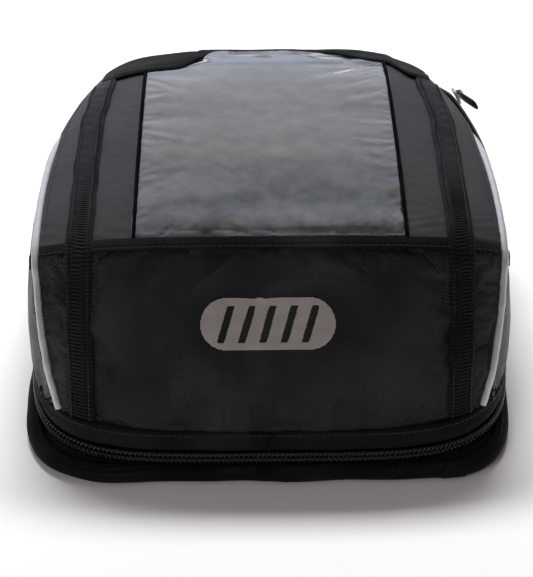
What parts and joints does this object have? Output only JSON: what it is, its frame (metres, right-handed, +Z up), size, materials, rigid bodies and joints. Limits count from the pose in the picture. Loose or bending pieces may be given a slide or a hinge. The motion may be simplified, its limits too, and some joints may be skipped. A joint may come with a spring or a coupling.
{
  "type": "tank bag",
  "caption": "Small motorcycle tank bag with a magnetic base, a bag that zips onto it, and a zipped lid with a clear map window.",
  "frame": {"origin": "middle of the base's underside, where the bag rests on the tank", "axes": "+Z up, +Y towards the rear of the bag, +X to the right seen from the front"},
  "size_m": [0.2623, 0.3, 0.1272],
  "materials": {
    "woven_fabric": "woven polyester",
    "hem_fabric": "smooth matte",
    "webbing": "ribbed webbing",
    "zip_tape": "woven tape",
    "zip_coil": "nylon coil",
    "synthetic_leather": "fine grain, matte",
    "window_backing": "plain weave",
    "clear_film": "clear flexible film",
    "reflective": "retroreflective",
    "hook_and_loop": "hook and loop",
    "foam": "padding foam",
    "stiffener": "moulded sheet",
    "magnet": "plated disc",
    "anti_slip": "matte anti-slip",
    "slider_metal": "die-cast, worn",
    "pull_metal": "gunmetal"
  },
  "bodies": {
    "base": {"base_underside": "anti_slip", "base_board": "stiffener", "base_floor": "woven_fabric", "base_binding": "webbing", "magnet_front_left": "magnet", "magnet_front_right": "magnet", "magnet_rear_left": "magnet", "magnet_rear_right": "magnet", "base_zip_lower_tape": "zip_tape", "base_zip_lower_coil": "zip_coil", "rear_hinge_web": "woven_fabric"},
    "bag": {"base_zip_upper_coil": "zip_coil", "base_zip_upper_tape": "zip_tape", "hem_band": "hem_fabric", "bag_floor": "woven_fabric", "floor_stiffener": "stiffener", "front_panel": "woven_fabric", "front_foam": "foam", "front_hem_strip": "webbing", "reflective_mark": "reflective", "front_strap_left": "webbing", "front_strap_right": "webbing", "front_piping_left": "reflective", "front_piping_right": "reflective", "side_panel_left": "woven_fabric", "side_panel_right": "woven_fabric", "side_foam_left": "foam", "side_foam_right": "foam", "rear_panel": "woven_fabric", "rear_foam": "foam", "zip_end_tab_left": "zip_tape", "zip_end_tab_right": "zip_tape", "main_zip_lower_tape": "zip_tape", "main_zip_lower_coil": "zip_coil"},
    "base_slider": {"base_zip_slider": "slider_metal"},
    "base_pull": {"base_zip_pull": "pull_metal"},
    "main_slider": {"main_zip_slider": "slider_metal"},
    "main_pull": {"main_zip_pull": "pull_metal"},
    "lid": {"main_zip_upper_tape": "zip_tape", "main_zip_upper_coil": "zip_coil", "lid_foam": "foam", "window_backing": "window_backing", "lid_leather_left": "synthetic_leather", "lid_leather_right": "synthetic_leather", "window_binding_left": "zip_tape", "window_binding_right": "zip_tape", "lid_strap_left": "webbing", "lid_strap_right": "webbing", "window_film": "clear_film", "window_loop_strip": "hook_and_loop", "window_hook_strip": "hook_and_loop", "rear_cross_band": "webbing", "lid_piping": "reflective"}
  },
  "joints": [
    {"name": "bag_tilt", "type": "hinge", "parent": "base", "child": "bag", "pos_m": [0, 0.1485, 0.0166], "axis": [-1, 0, 0], "range_deg": [0, 80]},
    {"name": "lid_hinge", "type": "hinge", "parent": "bag", "child": "lid", "pos_m": [0, -0.10063, 0.1168], "axis": [1, 0, 0], "range_deg": [0, 110]},
    {"name": "main_slider_travel", "type": "slide", "parent": "bag", "child": "main_slider", "axis": [0.1561, -0.9851, 0.0724], "range_m": [0, 0.056]},
    {"name": "main_pull_swing", "type": "hinge", "parent": "main_slider", "child": "main_pull", "pos_m": [0.11275, 0.08168, 0.0998], "axis": [-0.4516, -0.0059, 0.8922], "range_deg": [-12, 110]},
    {"name": "base_slider_travel", "type": "slide", "parent": "base", "child": "base_slider", "axis": [0, -1, 0], "range_m": [0, 0.105]},
    {"name": "base_pull_swing", "type": "hinge", "parent": "base_slider", "child": "base_pull", "pos_m": [0.1316, 0.088, 0.013], "axis": [0, 0, 1], "range_deg": [0, 150]}
  ]
}
